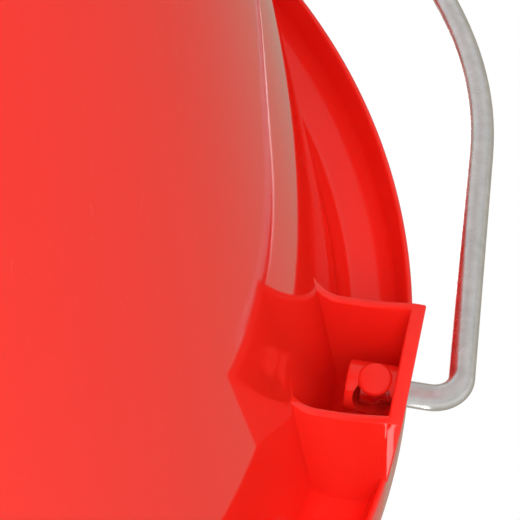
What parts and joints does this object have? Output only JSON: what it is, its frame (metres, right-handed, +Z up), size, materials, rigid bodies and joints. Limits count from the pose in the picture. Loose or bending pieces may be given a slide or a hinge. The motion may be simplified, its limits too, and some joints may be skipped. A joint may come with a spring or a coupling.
{
  "type": "bucket",
  "caption": "Tapered gloss plastic wash bucket with a skirted rim, moulded bail ears, a swinging sprung wire bail and a loose tubular hand grip.",
  "frame": {"origin": "centre of the base's underside, where the bucket stands", "axes": "+Z up from the base to the open mouth; the two ears and the bail's pivot line lie on X; the bail rests towards +Y"},
  "size_m": [0.336, 0.3332, 0.277],
  "materials": {
    "shell": "gloss red injection-moulded polypropylene",
    "wire": "dull bright-galvanised steel wire",
    "grip": "black moulded polyethylene, fine satin grain"
  },
  "bodies": {
    "bucket": {"bucket_shell": "shell"},
    "bail": {"bail_wire": "wire"},
    "grip": {"hand_grip": "grip"}
  },
  "joints": [
    {"name": "bail_swing", "type": "hinge", "parent": "bucket", "child": "bail", "pos_m": [0, 0, 0.2493], "axis": [1, 0, 0], "range_deg": [-46, 214]},
    {"name": "grip_spin", "type": "hinge", "parent": "bail", "child": "grip", "pos_m": [0, 0.16825, 0.26698], "axis": [1, 0, 0], "continuous": true}
  ]
}
